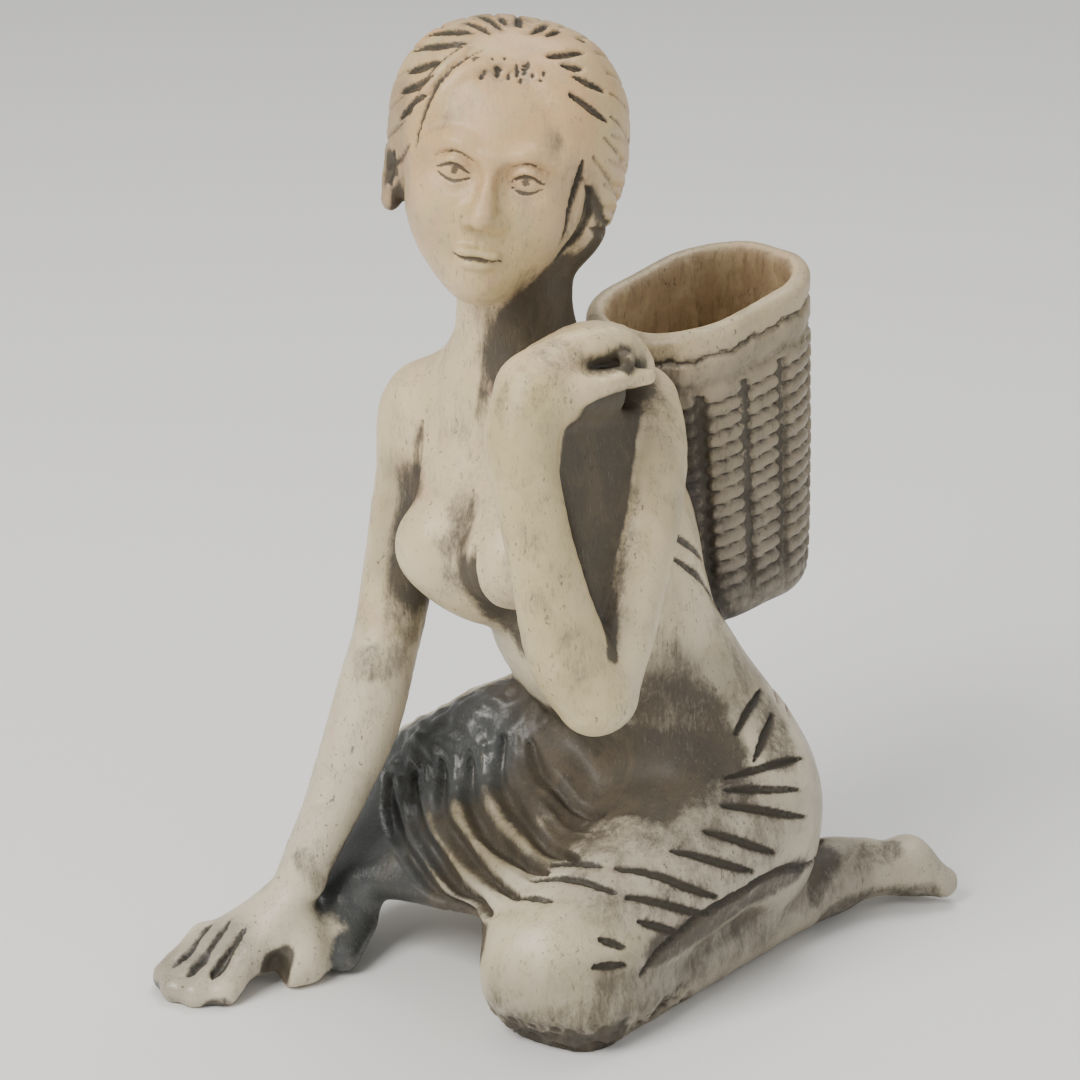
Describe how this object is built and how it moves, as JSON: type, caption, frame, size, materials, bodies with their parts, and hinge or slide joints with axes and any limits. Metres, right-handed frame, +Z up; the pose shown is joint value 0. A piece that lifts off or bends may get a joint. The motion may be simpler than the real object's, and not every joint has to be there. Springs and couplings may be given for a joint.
{
  "type": "tea picker figurine",
  "caption": "Cast resin figurine of a kneeling tea picker leaning on one hand, with a deep hollow basket on the back; stands on its own on a shelf.",
  "frame": {"origin": "middle of the bounding box's underside, on the surface that the figurine stands on", "axes": "+Z up, the face looks along -Y, +X to the viewer's right, towards the basket and the bent leg's foot"},
  "size_m": [0.0996, 0.0607, 0.1158],
  "materials": {
    "resin": "waxy satin ivory cast resin with a dark brown wash left in the carving, paler and rubbed on the high places"
  },
  "bodies": {
    "root": {"tea_picker": "resin"}
  },
  "joints": []
}
